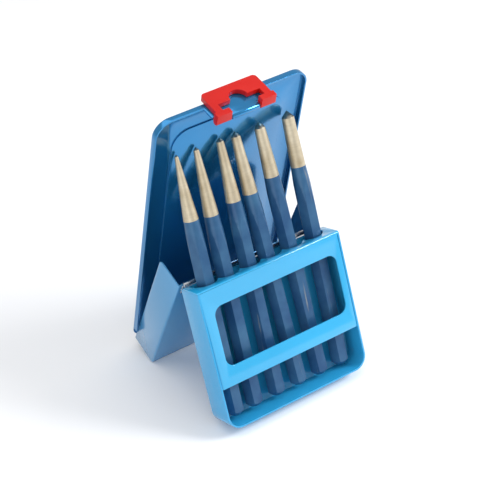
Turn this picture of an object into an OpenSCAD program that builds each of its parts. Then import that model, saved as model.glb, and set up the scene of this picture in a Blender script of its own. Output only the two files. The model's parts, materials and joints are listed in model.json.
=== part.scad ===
/* [Case] */
// Width of the two trays
tray_w = 80; // [76:1:96]
// Length of each tray, from its hinge edge to its end wall
tray_l = 69.2; // [60:0.2:84]
// Thickness of the steel sheet
sheet = 0.8; // [0.6:0.1:1]
// Depth of the front tray, which holds the punches
holder_d = 14.2; // [13:0.2:18]
// Depth of the rear tray
base_d = 16; // [14:0.2:20]
// Outer radius of the front tray's bottom corners
corner_r = 7; // [3:0.5:9]
// Radius of the rear tray's top rear corners
base_top_r = 2; // [0.5:0.5:5]
// Lean of each tray from upright
stand_lean = 21.8; // [16:0.2:26]

/* [Front cover] */
// Height of the front cover plate
cover_l = 48; // [40:0.5:52]
// Width of the window
window_w = 69.2; // [50:0.2:72]
// Height of the window
window_l = 29.9; // [20:0.1:31]
// Distance from the cover's top to the window
window_top = 8.9; // [6:0.1:9.5]
// How far the window sits to the right of the middle
window_shift = 0.8; // [0:0.1:2]
// Radius of the window's corners
window_r = 4.5; // [2:0.5:8]
// Depth of the cover's folded sides
cover_fold = 6; // [3:0.5:8]

/* [Lid] */
// How much longer the lid is than the two trays together
lid_extra = 2.6; // [2.2:0.1:9]
// Depth of the lid's rim
rim_d = 3.3; // [2.5:0.1:5]
// Outer radius of the lid's top corners
lid_r = 8.1; // [5:0.1:10]
// Radius of the lid's bottom corners
lid_foot_r = 5; // [3:0.5:7]
// Distance from the lid's edge to its raised field
field_inset = 11.6; // [8:0.2:16]
// Height of the raised field
field_step = 0.8; // [0.4:0.1:1.2]
// Gap between the lid and the tips that it leans over
tip_gap = 1.3; // [1.2:0.1:3]
// Width of the tab on the lid's top
tab_w = 33; // [30:0.5:38]
// Reach of the tab, from the lid's back
tab_d = 9.6; // [8:0.1:12]
// Width of the rolled eye on the tab
eye_w = 14.6; // [12:0.2:18]
// Outer radius of the rolled eye
eye_r = 1.5; // [1.3:0.1:1.8]
// Radius of the clip's pin
clip_pin_r = 0.7; // [0.5:0.05:0.8]

/* [Hinges] */
// Width of the hinge leaves
hinge_w = 76; // [60:1:76]
// Thickness of the hinge leaves
leaf_t = 0.6; // [0.4:0.1:0.8]
// Length of the hinge leaves
leaf_l = 6; // [4:0.5:9]
// Outer radius of the knuckles
knuckle_r = 1.1; // [1:0.05:1.2]
// Radius of the hinge pins
pin_r = 0.6; // [0.4:0.05:0.7]

/* [Hanger clip] */
// Width of the clip at its back edge
clip_w = 29.6; // [27:0.2:33]
// Extra width of each foot
foot_flare = 1; // [0:0.1:2]
// Thickness of the clip
clip_t = 2.5; // [2:0.1:3.5]
// How far the clip stands out behind the lid
clip_over = 2.9; // [1:0.1:5]
// Width of the clip's slot
slot_w = 22.4; // [19:0.2:24]
// Radius of the slot's round middle
slot_r = 4.5; // [3.5:0.1:5]
// Length of the slot's straight wings
slot_wing = 3.9; // [3:0.1:5]
// Gap between the rolled eye and each foot, where the pin shows
foot_gap = 0.7; // [0.3:0.1:1.2]
// Depth of the pin in each foot
pin_grip = 4; // [2:0.5:6]

/* [Punches] */
// Length of a punch
punch_l = 128; // [110:1:130]
// Size of the hexagonal shank across its flats
shank_af = 8; // [7:0.1:8.6]
// Diameter at the end of the paint, where the cone starts
neck_d = 7.1; // [6:0.1:7.4]
// Length of the painted taper below the cone
taper_l = 20; // [10:0.5:26]
// Smallest tip diameter
tip_d_min = 1.8; // [1.2:0.1:2.2]
// Step in tip diameter from one punch to the next
tip_d_step = 0.8; // [0.4:0.1:0.8]
// Height of the struck ends above the tray's end wall
punch_seat = 2.4; // [1.8:0.1:3]
// Length of the bare cone of each punch
cone_l = [31, 32.5, 30.5, 30, 26.5, 27];
// Sideways place of each punch's struck end, measured from the middle of its notch
end_shift = [-0.6, -1.7, -0.7, 0.1, 0.6, 0.9];
// Sideways place of each punch's tip, measured from the middle of its notch
tip_shift = [1.2, -0.3, 0.5, -3.1, -1.8, 2.1];

/* [Hidden] */

$fn = 64;
cut = 1;                                // overshoot of a cutting solid
play = 0.3;                             // gap between pieces that move past each other
running = 0.05;                         // radial clearance of a pin in its eye
punch_play = 0.15;                      // gap between the punches and the plate behind them
notch_play = 1.78;                      // room in a notch beside a punch's corner
notch_rest = 0.75;                      // how far the notches' centres lie behind the punches'
tooth_back = 2.8;                       // distance from the notches' centres forward to the teeth's ends
end_margin = 4;                         // side strip of the cover's top, outside the outermost notches
end_chamfer = 1.5;                      // chamfer at a punch's struck end
point_angle = 84;                       // included angle of a punch's point
knuckles = 5;                           // pieces of a hinge, shared out between its two leaves
clip_r = 2;                             // radius of the clip's rear corners

// hinge axes, measured from the outer face and the edge of the sheets they join
pin_out = 0.7;
pin_past = 1.3;
lid_pin_out = 0.4;
lid_pin_past = 1.4;

lid_w = tray_w + 2 * (sheet + play);
lid_l = 2 * tray_l + lid_extra;
pin_y = pin_out * cos(stand_lean) + pin_past * sin(stand_lean);
top_z = tray_l * cos(stand_lean);

// lid pin, first in the rear tray's own frame and then from the tray pin
lid_pin_depth = base_d + play + sheet + lid_pin_out;
lid_pin_drop = lid_pin_out + tray_l;
lid_pin_y = pin_y + lid_pin_depth * cos(stand_lean) + lid_pin_drop * sin(stand_lean);
lid_pin_z = top_z + lid_pin_depth * sin(stand_lean) - lid_pin_drop * cos(stand_lean);

// the depths before and behind the tray pin are shared equally about y = 0
front_y = pin_y + tray_l * sin(stand_lean) + holder_d * cos(stand_lean);
shift_y = (front_y - lid_pin_y - knuckle_r) / 2;

// punches lean on the front tray's back plate, each with one flat towards it
corner = shank_af / 2 / cos(30);
punch_y = -sheet - shank_af / 2 - punch_play;
punch_z = -tray_l + sheet + punch_seat;
notch_pitch = (tray_w - 2 * end_margin) / 6;
notch_r = corner + notch_play;
tip_z = punch_z + punch_l;

// the lid leans until its raised field comes within tip_gap of the tips
tip_back = lid_pin_y + pin_y - tip_z * sin(stand_lean) - punch_y * cos(stand_lean);
tip_up = top_z + tip_z * cos(stand_lean) - punch_y * sin(stand_lean) - lid_pin_z;
field_face = lid_pin_out + sheet + field_step;
lid_lean = atan2(tip_back, tip_up)
    - asin((field_face + tip_gap) / norm([tip_back, tip_up]));

eye_y = -tab_d - play - eye_r;
eye_z = -eye_r;
foot_in = eye_w / 2 + foot_gap;

module on_holder() {
    translate([0, shift_y - pin_y, top_z]) rotate([-stand_lean, 0, 0]) children();
}

module on_base() {
    translate([0, shift_y + pin_y, top_z]) rotate([stand_lean, 0, 0]) children();
}

module on_lid() {
    translate([0, shift_y + lid_pin_y, lid_pin_z]) rotate([lid_lean, 0, 0])
        translate([0, -lid_pin_out, lid_l + lid_pin_past]) children();
}

// a drawing in x and z, made thick along y from y0 to y1
module slab(y0, y1) {
    translate([0, y1, 0]) rotate([90, 0, 0]) linear_extrude(y1 - y0) children();
}

// a drawing in y and z, made long along x from x0 to x1
module bar(x0, x1) {
    translate([x0, 0, 0]) rotate([90, 0, 90]) linear_extrude(x1 - x0) children();
}

// an upright rectangle that hangs from z = 0, with its own top and bottom corner radii
module hung_rect(w, l, r_top, r_low) {
    for (s = [-1, 1]) {
        translate([s * (w / 2 - r_top), -r_top]) circle(r_top);
        translate([s * (w / 2 - r_low), r_low - l]) circle(r_low);
    }
    translate([-w / 2 + r_top, -l / 2]) square([w - 2 * r_top, l / 2]);
    translate([-w / 2 + r_low, -l]) square([w - 2 * r_low, l / 2]);
    translate([-w / 2, r_low - l]) square([w, l - r_low - r_top]);
}

// one side of a pinned hinge: side 1 lies on faces that look along +y, side -1 along -y
module leaf(side, out, past, odd) {
    pitch = hinge_w / knuckles;
    for (i = [0 : knuckles - 1]) if ((i % 2 == 1) == odd)
        bar(-hinge_w / 2 + i * pitch + play / 2, -hinge_w / 2 + (i + 1) * pitch - play / 2)
            difference() {
                union() {
                    translate([side * out, past]) circle(knuckle_r);
                    translate([side > 0 ? 0 : -leaf_t, -cut]) square([leaf_t, past + cut]);
                }
                translate([side * out, past]) circle(pin_r + (odd ? running : 0));
            }
    translate([-hinge_w / 2, side > 0 ? 0 : -leaf_t, -leaf_l])
        cube([hinge_w, leaf_t, leaf_l - play]);
}

module hinge_pin() {
    bar(-hinge_w / 2, hinge_w / 2) circle(pin_r);
}

module holder_tray() {
    color("deepskyblue") on_holder() {
        slab(-sheet, 0) hung_rect(tray_w, tray_l, sheet / 2, corner_r);
        slab(-holder_d, -sheet) difference() {
            hung_rect(tray_w, tray_l, sheet / 2, corner_r);
            translate([-tray_w / 2 + sheet, -cut]) square([tray_w - 2 * sheet, 2 * cut]);
            hung_rect(tray_w - 2 * sheet, tray_l - sheet, sheet / 2, corner_r - sheet);
        }
    }
}

module holder_cover() {
    inner_w = tray_w - 2 * sheet;
    notch_y = punch_y + notch_rest;
    color("deepskyblue") on_holder() {
        slab(-holder_d, sheet - holder_d) difference() {
            translate([-inner_w / 2, -cover_l]) square([inner_w, cover_l]);
            translate([window_shift, -window_top]) hung_rect(window_w, window_l, window_r, window_r);
        }
        for (s = [-1, 1])
            translate([s * (inner_w - sheet) / 2 - sheet / 2, sheet - holder_d, -cover_l])
                cube([sheet, cover_fold, cover_l]);
        difference() {
            translate([-tray_w / 2, -holder_d, 0]) cube([tray_w, holder_d - 2 * sheet, sheet]);
            for (i = [0 : 5])
                translate([notch_x(i), notch_y, -cut]) cylinder(r = notch_r, h = sheet + 2 * cut);
            translate([notch_x(0) - notch_r, notch_y - tooth_back, -cut])
                cube([notch_x(5) - notch_x(0) + 2 * notch_r, holder_d, sheet + 2 * cut]);
        }
    }
}

module base_tray() {
    color("cornflowerblue") on_base() {
        for (s = [-1, 1])
            bar(s * (tray_w - sheet) / 2 - sheet / 2, s * (tray_w - sheet) / 2 + sheet / 2) {
                translate([0, -tray_l]) square([base_d, tray_l - base_top_r]);
                translate([0, -tray_l]) square([base_d - base_top_r, tray_l]);
                translate([base_d - base_top_r, -base_top_r]) circle(base_top_r);
            }
        translate([-tray_w / 2, 0, -tray_l]) cube([tray_w, sheet, tray_l]);
        translate([-tray_w / 2, 0, -tray_l]) cube([tray_w, base_d, sheet]);
    }
}

module lid_shell() {
    field_w = lid_w - 2 * field_inset;
    field_l = lid_l - 2 * field_inset;
    color("deepskyblue") on_lid() {
        slab(-sheet, 0) difference() {
            hung_rect(lid_w, lid_l, lid_r, lid_foot_r);
            translate([0, -field_inset]) hung_rect(field_w, field_l, lid_r, lid_r);
        }
        slab(-sheet - field_step, -field_step)
            translate([0, -field_inset]) hung_rect(field_w, field_l, lid_r, lid_r);
        slab(-sheet - field_step, -field_step / 2) difference() {
            translate([0, sheet - field_inset])
                hung_rect(field_w + 2 * sheet, field_l + 2 * sheet, lid_r + sheet, lid_r + sheet);
            translate([0, -field_inset]) hung_rect(field_w, field_l, lid_r, lid_r);
        }
        slab(-rim_d, -sheet) difference() {
            hung_rect(lid_w, lid_l, lid_r, lid_foot_r);
            translate([0, -sheet]) hung_rect(lid_w - 2 * sheet, lid_l, lid_r - sheet, lid_foot_r);
            translate([-lid_w / 2 - cut, -lid_l - cut]) square([lid_w + 2 * cut, lid_foot_r + 2 * cut]);
        }
        difference() {
            union() {
                translate([-tab_w / 2, -tab_d, -sheet]) cube([tab_w, tab_d, sheet]);
                translate([-eye_w / 2, eye_y, -sheet]) cube([eye_w, -eye_y, sheet]);
                translate([0, eye_y, eye_z]) bar(-eye_w / 2, eye_w / 2) circle(eye_r);
            }
            translate([0, eye_y, eye_z]) bar(-tab_w, tab_w) circle(clip_pin_r + running);
        }
    }
}

module holder_leaf() {
    color("lightsteelblue") on_holder() leaf(1, pin_out, pin_past, true);
}

module base_top_leaf() {
    color("lightsteelblue") on_base() leaf(-1, pin_out, pin_past, false);
}

module base_rear_leaf() {
    color("lightsteelblue") on_base()
        translate([0, base_d, -tray_l]) rotate([-90, 0, 0])
            leaf(1, lid_pin_out, lid_pin_depth - base_d, false);
}

module lid_leaf() {
    color("lightsteelblue") on_lid() translate([0, 0, -lid_l]) mirror([0, 0, 1])
        leaf(1, lid_pin_out, lid_pin_past, true);
}

module tray_pin() {
    color("silver") translate([0, shift_y, top_z + pin_past * cos(stand_lean) - pin_out * sin(stand_lean)])
        hinge_pin();
}

module lid_pin() {
    color("silver") translate([0, shift_y + lid_pin_y, lid_pin_z]) hinge_pin();
}

module hanger_clip() {
    foot_w = clip_w / 2 + foot_flare - foot_in;
    slot_back = eye_y + eye_r + slot_wing;
    color("red") on_lid() {
        translate([0, 0, play]) linear_extrude(clip_t) difference() {
            union() {
                translate([-clip_w / 2, eye_y - eye_r])
                    square([clip_w, clip_over - eye_y + eye_r - clip_r]);
                translate([clip_r - clip_w / 2, eye_y - eye_r])
                    square([clip_w - 2 * clip_r, clip_over - eye_y + eye_r]);
                for (s = [-1, 1]) {
                    translate([s * (clip_w / 2 - clip_r), clip_over - clip_r]) circle(clip_r);
                    translate([s > 0 ? 0 : -clip_w / 2 - foot_flare, eye_y - eye_r])
                        square([clip_w / 2 + foot_flare, 2 * eye_r]);
                }
            }
            translate([-slot_w / 2, eye_y + eye_r]) square([slot_w, slot_wing]);
            translate([0, slot_back]) circle(slot_r);
            translate([-foot_in, eye_y - eye_r - cut]) square([2 * foot_in, 2 * eye_r + 2 * cut]);
        }
        difference() {
            for (s = [-1, 1])
                translate([s > 0 ? foot_in : -foot_in - foot_w, 0, 0]) {
                    translate([0, eye_y - eye_r, eye_z]) cube([foot_w, 2 * eye_r, play - eye_z + cut]);
                    translate([0, eye_y, eye_z]) bar(0, foot_w) circle(eye_r);
                }
            clip_pin_bar();
        }
    }
}

module clip_pin_bar() {
    translate([0, eye_y, eye_z]) bar(-foot_in - pin_grip, foot_in + pin_grip) circle(clip_pin_r);
}

module clip_pin() {
    color("silver") on_lid() clip_pin_bar();
}

// a punch standing on its struck end, with its point up
module punch(i) {
    tip_r = (tip_d_min + i * tip_d_step) / 2;
    neck_z = punch_l - cone_l[i];
    past = corner + 0.1;
    lean = atan2(notch_shift(i, tip_shift) - notch_shift(i, end_shift), punch_l);
    color("steelblue") on_holder()
        translate([notch_shift(i, end_shift), punch_y, punch_z]) rotate([0, lean, 0])
            intersection() {
                cylinder(r = corner, h = punch_l, $fn = 6);
                rotate_extrude() polygon([
                    [0, 0],
                    [shank_af / 2 - end_chamfer, 0],
                    [past, past - shank_af / 2 + end_chamfer],
                    [past, neck_z - taper_l],
                    [neck_d / 2, neck_z],
                    [tip_r, punch_l - tip_r / tan(point_angle / 2)],
                    [0, punch_l]
                ]);
            }
}

// sideways middle of a notch, and that of a punch's end in it
function notch_x(i) = (i - 2.5) * notch_pitch;
function notch_shift(i, shift) = notch_x(i) + shift[i];

holder_tray();
holder_cover();
base_tray();
lid_shell();
holder_leaf();
base_top_leaf();
base_rear_leaf();
lid_leaf();
tray_pin();
lid_pin();
hanger_clip();
clip_pin();
punch(0);  // punch_1
punch(1);  // punch_2
punch(2);  // punch_3
punch(3);  // punch_4
punch(4);  // punch_5
punch(5);  // punch_6
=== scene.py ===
import json
import math

import bpy
from mathutils import Matrix, Vector


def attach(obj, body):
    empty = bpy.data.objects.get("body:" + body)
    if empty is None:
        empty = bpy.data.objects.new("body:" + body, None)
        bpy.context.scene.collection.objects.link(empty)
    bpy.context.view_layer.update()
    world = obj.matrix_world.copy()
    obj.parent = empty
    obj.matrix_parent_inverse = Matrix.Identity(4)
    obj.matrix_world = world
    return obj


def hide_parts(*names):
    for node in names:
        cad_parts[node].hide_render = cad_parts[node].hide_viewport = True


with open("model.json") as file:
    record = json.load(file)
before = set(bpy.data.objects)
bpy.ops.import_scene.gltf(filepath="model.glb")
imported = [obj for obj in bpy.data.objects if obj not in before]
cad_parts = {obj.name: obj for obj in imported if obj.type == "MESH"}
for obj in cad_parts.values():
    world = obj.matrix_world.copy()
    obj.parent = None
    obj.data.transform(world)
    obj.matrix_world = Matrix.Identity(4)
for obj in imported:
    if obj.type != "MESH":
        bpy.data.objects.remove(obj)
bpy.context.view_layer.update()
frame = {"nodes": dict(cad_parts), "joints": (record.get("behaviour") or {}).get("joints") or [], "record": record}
joints = {joint["name"]: joint for joint in frame["joints"]}
mm = 0.001


# Shared helpers

def deselectAll():
    if bpy.context.mode != "OBJECT":
        bpy.ops.object.mode_set(mode="OBJECT")
    bpy.ops.object.select_all(action="DESELECT")


def makeActive(piece):
    deselectAll()
    piece.select_set(True)
    bpy.context.view_layer.objects.active = piece


def leanFrame(origin, degrees):
    # turns a point into side, depth and height in the frame of a leaning sheet
    turn = Matrix.Rotation(math.radians(degrees), 4, "X")
    return (Matrix.Translation(origin) @ turn).inverted()


def copyOfNode(nodeName, pieceName):
    # a clean copy of a frame piece: welded, with its flat faces joined up
    node = frame["nodes"][nodeName]
    piece = bpy.data.objects.new(pieceName, node.data.copy())
    piece.data.name = pieceName
    piece.data.materials.clear()
    bpy.context.scene.collection.objects.link(piece)
    makeActive(piece)
    bpy.ops.object.mode_set(mode="EDIT")
    bpy.ops.mesh.select_all(action="SELECT")
    bpy.ops.mesh.remove_doubles(threshold=2e-6)
    bpy.ops.mesh.dissolve_limited(angle_limit=math.radians(0.6))
    bpy.ops.object.mode_set(mode="OBJECT")
    return piece


def selectEdges(piece, wanted):
    # leaves the piece in edit mode with just the wanted edges picked
    makeActive(piece)
    mesh = piece.data
    bpy.ops.object.mode_set(mode="EDIT")
    bpy.ops.mesh.select_mode(type="EDGE")
    bpy.ops.mesh.select_all(action="DESELECT")
    bpy.ops.object.mode_set(mode="OBJECT")
    for edge in mesh.edges:
        first, last = (mesh.vertices[i].co for i in edge.vertices)
        edge.select = wanted(first, last)
    bpy.ops.object.mode_set(mode="EDIT")


def weighEdges(piece, wanted, weight=1.0):
    selectEdges(piece, wanted)
    bpy.ops.transform.edge_bevelweight(value=weight)
    bpy.ops.object.mode_set(mode="OBJECT")


def addBevel(piece, width, segments, limit="ANGLE", angle=30):
    makeActive(piece)
    bevel = piece.modifiers.new("bevel", "BEVEL")
    bevel.width = width
    bevel.segments = segments
    bevel.limit_method = limit
    bevel.angle_limit = math.radians(angle)
    bpy.ops.object.modifier_apply(modifier=bevel.name)


def smooth(piece, degrees=40):
    makeActive(piece)
    bpy.ops.object.shade_smooth_by_angle(angle=math.radians(degrees))


def flattenFacets(piece):
    # keeps wide faces looking flat, so that only the bevels look round
    makeActive(piece)
    weighted = piece.modifiers.new("weighted", "WEIGHTED_NORMAL")
    weighted.keep_sharp = True
    bpy.ops.object.modifier_apply(modifier=weighted.name)


def cutAcross(piece, point, normal):
    # adds an edge loop where a plane crosses the piece
    makeActive(piece)
    bpy.ops.object.mode_set(mode="EDIT")
    bpy.ops.mesh.select_all(action="SELECT")
    bpy.ops.mesh.bisect(plane_co=point, plane_no=normal)
    bpy.ops.object.mode_set(mode="OBJECT")


def standFor(piece, nodeName, body):
    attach(piece, body)
    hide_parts(nodeName)


def paint(piece, material):
    piece.data.materials.clear()
    piece.data.materials.append(material)


# Node helpers

def newMaterial(name):
    material = bpy.data.materials.new(name)
    material.use_nodes = True
    nodes = material.node_tree.nodes
    return material, nodes, material.node_tree.links, nodes["Principled BSDF"]


def objectCoords(nodes, links, turn=(0, 0, 0), scale=(1, 1, 1)):
    coords = nodes.new("ShaderNodeTexCoord")
    mapping = nodes.new("ShaderNodeMapping")
    mapping.vector_type = "TEXTURE"
    mapping.inputs["Rotation"].default_value = turn
    mapping.inputs["Scale"].default_value = [1 / value for value in scale]
    links.new(coords.outputs["Object"], mapping.inputs["Vector"])
    return mapping.outputs["Vector"]


def noise(nodes, links, vector, scale, detail=3, rough=0.5, distortion=0.0):
    texture = nodes.new("ShaderNodeTexNoise")
    texture.inputs["Scale"].default_value = scale
    texture.inputs["Detail"].default_value = detail
    texture.inputs["Roughness"].default_value = rough
    texture.inputs["Distortion"].default_value = distortion
    links.new(vector, texture.inputs["Vector"])
    return texture.outputs["Fac"]


def mapTo(nodes, links, value, low, high, fromLow=0.0, fromHigh=1.0):
    mapRange = nodes.new("ShaderNodeMapRange")
    mapRange.inputs["From Min"].default_value = fromLow
    mapRange.inputs["From Max"].default_value = fromHigh
    mapRange.inputs["To Min"].default_value = low
    mapRange.inputs["To Max"].default_value = high
    links.new(value, mapRange.inputs["Value"])
    return mapRange.outputs["Result"]


def mixColour(nodes, links, factor, first, second):
    mix = nodes.new("ShaderNodeMix")
    mix.data_type = "RGBA"
    links.new(factor, mix.inputs["Factor"])
    for socket, colour in ((mix.inputs["A"], first), (mix.inputs["B"], second)):
        if isinstance(colour, tuple):
            socket.default_value = (*colour, 1)
        else:
            links.new(colour, socket)
    return mix.outputs["Result"]


def bump(nodes, links, height, distance):
    node = nodes.new("ShaderNodeBump")
    node.inputs["Distance"].default_value = distance
    node.inputs["Strength"].default_value = 1.0
    links.new(height, node.inputs["Height"])
    return node.outputs["Normal"]


# Materials

# every sheet piece has one and the same blue enamel; these tones are lit and shaded copies of it: the tray and
# cover tones are painted light on the lit front, the greyer base tone is painted sheen on its side walls, and the
# darker lid tone is painted shade inside the lid
enamelValues = {
    "tray": (0.022, 0.330, 0.640),
    "cover": (0.018, 0.365, 0.680),
    "base": (0.070, 0.300, 0.560),
    "lid": (0.012, 0.210, 0.480),
    "roughness": (0.14, 0.22),
    "peelSize": 700,
    "peelHeight": 0.000012,
}


def enamel(name, colour, metal=0.0, values=enamelValues):
    # stoved paint on sheet steel: a faint orange peel under a clear gloss
    material, nodes, links, shader = newMaterial(name)
    vector = objectCoords(nodes, links)
    cloud = noise(nodes, links, vector, 18, 4)
    dark = tuple(channel * 0.86 for channel in colour)
    light = tuple(min(channel * 1.10 + 0.004, 1) for channel in colour)
    links.new(mixColour(nodes, links, cloud, dark, light), shader.inputs["Base Color"])
    low, high = values["roughness"]
    smudge = noise(nodes, links, vector, 60, 5, 0.6)
    links.new(mapTo(nodes, links, smudge, low, high), shader.inputs["Roughness"])
    peel = noise(nodes, links, vector, values["peelSize"], 2)
    links.new(bump(nodes, links, peel, values["peelHeight"]), shader.inputs["Normal"])
    shader.inputs["Metallic"].default_value = metal
    shader.inputs["Coat Weight"].default_value = 0.6
    shader.inputs["Coat Roughness"].default_value = 0.06
    return material


lacquerValues = {
    "blue": (0.010, 0.070, 0.185),
    "worn": (0.032, 0.125, 0.250),
    "steel": (0.22, 0.24, 0.25),
    "grain": 380,
}


def lacquer(name, turn, values=lacquerValues):
    # thin blue lacquer on rolled bar, drawn out along the shank
    material, nodes, links, shader = newMaterial(name)
    along = objectCoords(nodes, links, turn, (1, 1, 0.06))
    vector = objectCoords(nodes, links)
    streak = noise(nodes, links, along, values["grain"], 4, 0.6)
    cloud = noise(nodes, links, vector, 90, 3)
    patch = mapTo(nodes, links, cloud, 0, 1, 0.35, 0.7)
    tone = mixColour(nodes, links, patch, values["blue"], values["worn"])
    scuff = mapTo(nodes, links, streak, 0, 1, 0.66, 0.74)
    links.new(mixColour(nodes, links, scuff, tone, values["steel"]), shader.inputs["Base Color"])
    links.new(mapTo(nodes, links, streak, 0.30, 0.46), shader.inputs["Roughness"])
    links.new(bump(nodes, links, streak, 0.000012), shader.inputs["Normal"])
    shader.inputs["Metallic"].default_value = 0.3
    shader.inputs["Coat Weight"].default_value = 0.2
    shader.inputs["Coat Roughness"].default_value = 0.2
    return material


bareValues = {
    "gold": (0.46, 0.38, 0.25),
    "pale": (0.66, 0.59, 0.45),
    "dull": (0.30, 0.26, 0.18),
    "turning": 1500,
}


def bareSteel(name, turn, values=bareValues):
    # turned bare taper: fine rings across the length
    material, nodes, links, shader = newMaterial(name)
    rings = objectCoords(nodes, links, turn, (0.04, 0.04, 1))
    vector = objectCoords(nodes, links)
    ring = noise(nodes, links, rings, values["turning"], 3, 0.6)
    cloud = noise(nodes, links, vector, 120, 4, 0.6)
    patch = mapTo(nodes, links, cloud, 0, 1, 0.3, 0.7)
    warm = mixColour(nodes, links, patch, values["gold"], values["pale"])
    groove = mapTo(nodes, links, ring, 0, 0.35, 0.5, 0.9)
    links.new(mixColour(nodes, links, groove, warm, values["dull"]), shader.inputs["Base Color"])
    links.new(mapTo(nodes, links, ring, 0.38, 0.50), shader.inputs["Roughness"])
    links.new(bump(nodes, links, ring, 0.00001), shader.inputs["Normal"])
    shader.inputs["Metallic"].default_value = 0.8
    return material


def pointSteel(name):
    # ground point: darker than the cone behind it
    material, nodes, links, shader = newMaterial(name)
    vector = objectCoords(nodes, links)
    cut = noise(nodes, links, vector, 900, 3)
    tone = mixColour(nodes, links, cut, (0.22, 0.21, 0.17), (0.42, 0.39, 0.31))
    links.new(tone, shader.inputs["Base Color"])
    links.new(mapTo(nodes, links, cut, 0.3, 0.5), shader.inputs["Roughness"])
    shader.inputs["Metallic"].default_value = 1.0
    return material


def hingeSteel(name):
    # bright zinc strip with rolling marks along its width
    material, nodes, links, shader = newMaterial(name)
    along = objectCoords(nodes, links, (0, 0, 0), (0.05, 1, 1))
    drawn = noise(nodes, links, along, 900, 3)
    tone = mixColour(nodes, links, drawn, (0.40, 0.42, 0.44), (0.62, 0.63, 0.65))
    links.new(tone, shader.inputs["Base Color"])
    links.new(mapTo(nodes, links, drawn, 0.18, 0.34), shader.inputs["Roughness"])
    links.new(bump(nodes, links, drawn, 0.000008), shader.inputs["Normal"])
    shader.inputs["Metallic"].default_value = 1.0
    return material


def redPlastic(name):
    material, nodes, links, shader = newMaterial(name)
    vector = objectCoords(nodes, links)
    cloud = noise(nodes, links, vector, 60, 3)
    fine = noise(nodes, links, vector, 1600, 2)
    tone = mixColour(nodes, links, cloud, (0.46, 0.004, 0.002), (0.58, 0.008, 0.003))
    links.new(tone, shader.inputs["Base Color"])
    links.new(mapTo(nodes, links, cloud, 0.30, 0.42), shader.inputs["Roughness"])
    links.new(bump(nodes, links, fine, 0.00001), shader.inputs["Normal"])
    shader.inputs["Specular IOR Level"].default_value = 0.35
    shader.inputs["Subsurface Weight"].default_value = 0.08
    shader.inputs["Subsurface Radius"].default_value = (0.002, 0.0006, 0.0004)
    return material


# one enamel in lit and shaded copies: painted light on the tray and cover, painted sheen on the base, painted
# shade on the lid
trayLitPaint = enamel("trayLitEnamel", enamelValues["tray"])
coverLitPaint = enamel("coverLitEnamel", enamelValues["cover"])
baseSheenPaint = enamel("baseSheenEnamel", enamelValues["base"], 0.25)
lidShadedPaint = enamel("lidShadedEnamel", enamelValues["lid"], 0.7)
zinc = hingeSteel("hingeZinc")
clipRed = redPlastic("clipRed")
print("materials made")


# Sheet pieces

sheetValues = {
    "trayLean": 21.8,
    "bendRadius": 0.9 * mm,
    "cutEdge": 0.16 * mm,
    "sheet": 0.8 * mm,
}

trayPin = Vector(joints["tray_hinge"]["pos_m"])
lidPin = Vector(joints["lid_hinge"]["pos_m"])


def farFrom(lean, pin, names):
    # the frame of a leaning piece, with its own lowest and highest corner in it
    toLocal = leanFrame(pin, lean)
    meshes = [frame["nodes"][name].data for name in names]
    corners = [toLocal @ vertex.co for mesh in meshes for vertex in mesh.vertices]
    low = Vector(min(corner[axis] for corner in corners) for axis in range(3))
    high = Vector(max(corner[axis] for corner in corners) for axis in range(3))
    return toLocal, low, high


def near(value, target):
    return abs(value - target) < 0.12 * mm


def roundBends(piece, toLocal, wanted, values=sheetValues):
    def onBend(first, last):
        return wanted(toLocal @ first, toLocal @ last)
    weighEdges(piece, onBend)
    addBevel(piece, values["bendRadius"], 4, "WEIGHT")
    addBevel(piece, values["cutEdge"], 2)
    smooth(piece, 50)


def makeHolderTray():
    piece = copyOfNode("holder_tray", "frontTray")
    toLocal, low, high = farFrom(-sheetValues["trayLean"], trayPin, ["holder_tray"])

    def backRim(first, last):
        atBack = near(first.y, high.y) and near(last.y, high.y)
        across = near(first.z, high.z) and near(last.z, high.z)
        return atBack and not across
    roundBends(piece, toLocal, backRim)
    paint(piece, trayLitPaint)
    standFor(piece, "holder_tray", "holder")


def makeCover():
    piece = copyOfNode("holder_cover", "windowCover")
    toLocal, low, high = farFrom(-sheetValues["trayLean"], trayPin, ["holder_cover"])
    sideX = high.x - sheetValues["sheet"]

    def frontBend(first, last):
        atFront = near(first.y, low.y) and near(last.y, low.y)
        alongTop = near(first.z, high.z) and near(last.z, high.z)
        onSide = near(abs(first.x), sideX) and near(abs(last.x), sideX)
        downSide = onSide and abs(first.z - last.z) > 10 * mm
        return atFront and (alongTop or downSide)
    roundBends(piece, toLocal, frontBend)
    paint(piece, coverLitPaint)
    standFor(piece, "holder_cover", "holder")


def makeBaseTray():
    piece = copyOfNode("base_tray", "rearTray")
    toLocal, low, high = farFrom(sheetValues["trayLean"], trayPin, ["base_tray"])

    def frontRim(first, last):
        atFront = near(first.y, low.y) and near(last.y, low.y)
        across = near(first.z, high.z) and near(last.z, high.z)
        return atFront and not across
    roundBends(piece, toLocal, frontRim)
    paint(piece, baseSheenPaint)
    standFor(piece, "base_tray", "base")


def lidLean():
    # the lid's lean, from the mount that stands square to it
    axis = next(m["axis"] for m in frame["record"]["mounts"] if m["name"] == "hanger_slot")
    return math.degrees(math.atan2(-axis[1], axis[2]))


def makeLid():
    piece = copyOfNode("lid_shell", "lid")
    toLocal, low, high = farFrom(lidLean(), lidPin, ["lid_shell"])

    def backRim(first, last):
        atBack = near(first.y, high.y) and near(last.y, high.y)
        atSide = max(abs(first.x), abs(last.x)) > high.x - 9 * mm
        outside = atSide or min(first.z, last.z) > high.z - 4 * mm
        return atBack and outside
    roundBends(piece, toLocal, backRim)
    paint(piece, lidShadedPaint)
    standFor(piece, "lid_shell", "lid")


makeHolderTray()
makeCover()
makeBaseTray()
makeLid()
print("sheet pieces made")


# Hinges

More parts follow.
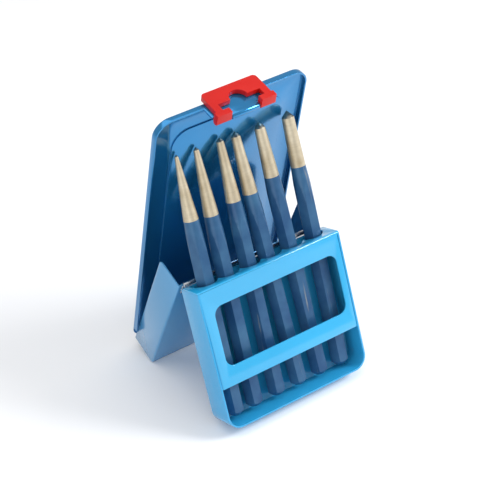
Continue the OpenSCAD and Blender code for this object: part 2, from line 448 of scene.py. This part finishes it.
def makeSteelPiece(nodeName, pieceName, body):
    piece = copyOfNode(nodeName, pieceName)
    addBevel(piece, 0.08 * mm, 2, angle=50)
    smooth(piece, 40)
    paint(piece, zinc)
    standFor(piece, nodeName, body)


for nodeName, pieceName, body in (
    ("holder_leaf", "frontTrayLeaf", "holder"),
    ("base_top_leaf", "rearTrayTopLeaf", "base"),
    ("base_rear_leaf", "rearTrayLidLeaf", "base"),
    ("lid_leaf", "lidLeaf", "lid"),
    ("tray_pin", "trayPin", "base"),
    ("lid_pin", "lidPin", "base"),
    ("clip_pin", "clipPin", "clip"),
):
    makeSteelPiece(nodeName, pieceName, body)
print("hinges made")


# Hanger clip

clipValues = {
    "edge": 0.45 * mm,
}


def makeClip(values=clipValues):
    piece = copyOfNode("hanger_clip", "hangerClip")
    addBevel(piece, values["edge"], 4, angle=35)
    smooth(piece, 45)
    paint(piece, clipRed)
    standFor(piece, "hanger_clip", "clip")


makeClip()
print("clip made")


# Punches

punchValues = {
    "count": 6,
    "cones": [31, 32.5, 30.5, 30, 26.5, 27],
    "tipFirst": 1.8 * mm,
    "tipStep": 0.8 * mm,
    "pointSlope": math.tan(math.radians(48)),
    "edge": 0.18 * mm,
}


def makePunch(number, values=punchValues):
    nodeName = f"punch_{number}"
    piece = copyOfNode(nodeName, f"punch{number}")
    axis = Vector(joints[f"{nodeName}_slide"]["axis"]).normalized()
    tip = max(vertex.co.dot(axis) for vertex in piece.data.vertices)
    turn = axis.to_track_quat("Z", "Y").to_euler()
    cone = values["cones"][number - 1] * mm
    addBevel(piece, values["edge"], 2, angle=25)
    cutAcross(piece, axis * (tip - cone), axis)
    smooth(piece, 25)
    flattenFacets(piece)
    point = (values["tipFirst"] + values["tipStep"] * (number - 1)) / 2 * values["pointSlope"]
    for material in (lacquer(f"punchBlue{number}", turn), bareSteel(f"punchBare{number}", turn),
                     pointSteel(f"punchPoint{number}")):
        piece.data.materials.append(material)
    for face in piece.data.polygons:
        below = tip - face.center.dot(axis)
        face.material_index = 2 if below < point else 1 if below < cone else 0
    standFor(piece, nodeName, nodeName)


for number in range(1, punchValues["count"] + 1):
    makePunch(number)
print("punches made")


# Floor, light and camera

stageValues = {
    "floor": (0.90, 0.91, 0.93),
    "world": (1.0, 1.0, 1.0),
    "worldStrength": 0.62,
    "keyPower": 6.5,
    "fillPower": 2.2,
    "topPower": 2.5,
}


def makeFloor(values=stageValues):
    deselectAll()
    bpy.ops.mesh.primitive_plane_add(size=6, location=(0, 0, -0.0002))
    floor = bpy.context.object
    floor.name = "floor"
    material, nodes, links, shader = newMaterial("floorPaper")
    vector = objectCoords(nodes, links)
    grain = noise(nodes, links, vector, 40, 3)
    pale = values["floor"]
    shade = tuple(channel * 0.985 for channel in pale)
    links.new(mixColour(nodes, links, grain, shade, pale), shader.inputs["Base Color"])
    shader.inputs["Roughness"].default_value = 0.9
    paint(floor, material)


def addLight(name, location, size, power, colour=(1, 1, 1)):
    light = bpy.data.lights.new(name, "AREA")
    light.shape = "RECTANGLE"
    light.size, light.size_y = size
    light.energy = power
    light.color = colour
    lamp = bpy.data.objects.new(name, light)
    lamp.location = location
    aim = Vector((0, 0, 0.07)) - Vector(location)
    lamp.rotation_euler = aim.to_track_quat("-Z", "Y").to_euler()
    bpy.context.scene.collection.objects.link(lamp)


def makeLights(values=stageValues):
    addLight("key", (0.62, -0.42, 0.62), (0.35, 0.35), values["keyPower"])
    addLight("fill", (-0.7, -0.5, 0.45), (0.8, 0.8), values["fillPower"])
    addLight("top", (-0.1, 0.1, 0.9), (0.8, 0.8), values["topPower"])
    world = bpy.data.worlds.new("studio")
    world.use_nodes = True
    background = world.node_tree.nodes["Background"]
    background.inputs["Color"].default_value = (*values["world"], 1)
    background.inputs["Strength"].default_value = values["worldStrength"]
    bpy.context.scene.world = world
    bpy.context.scene.view_settings.view_transform = "Standard"


cameraValues = {
    "azimuth": -35.79,
    "elevation": 37.82,
    "lens": 126,
    "distance": 0.8526,
    "lookAt": (0.01941, 0.0259, 0.04169),
}


def makeCamera(values=cameraValues):
    across, above = math.radians(values["azimuth"]), math.radians(values["elevation"])
    level = math.cos(above)
    back = Vector((math.sin(across) * level, -math.cos(across) * level, math.sin(above)))
    camera = bpy.data.objects.new("camera", bpy.data.cameras.new("camera"))
    camera.data.lens = values["lens"]
    camera.data.sensor_width = 36
    camera.data.clip_start = 0.01
    camera.location = Vector(values["lookAt"]) + back * values["distance"]
    camera.rotation_euler = (-back).to_track_quat("-Z", "Y").to_euler()
    bpy.context.scene.collection.objects.link(camera)
    bpy.context.scene.camera = camera


makeFloor()
makeLights()
makeCamera()
print("stage made")
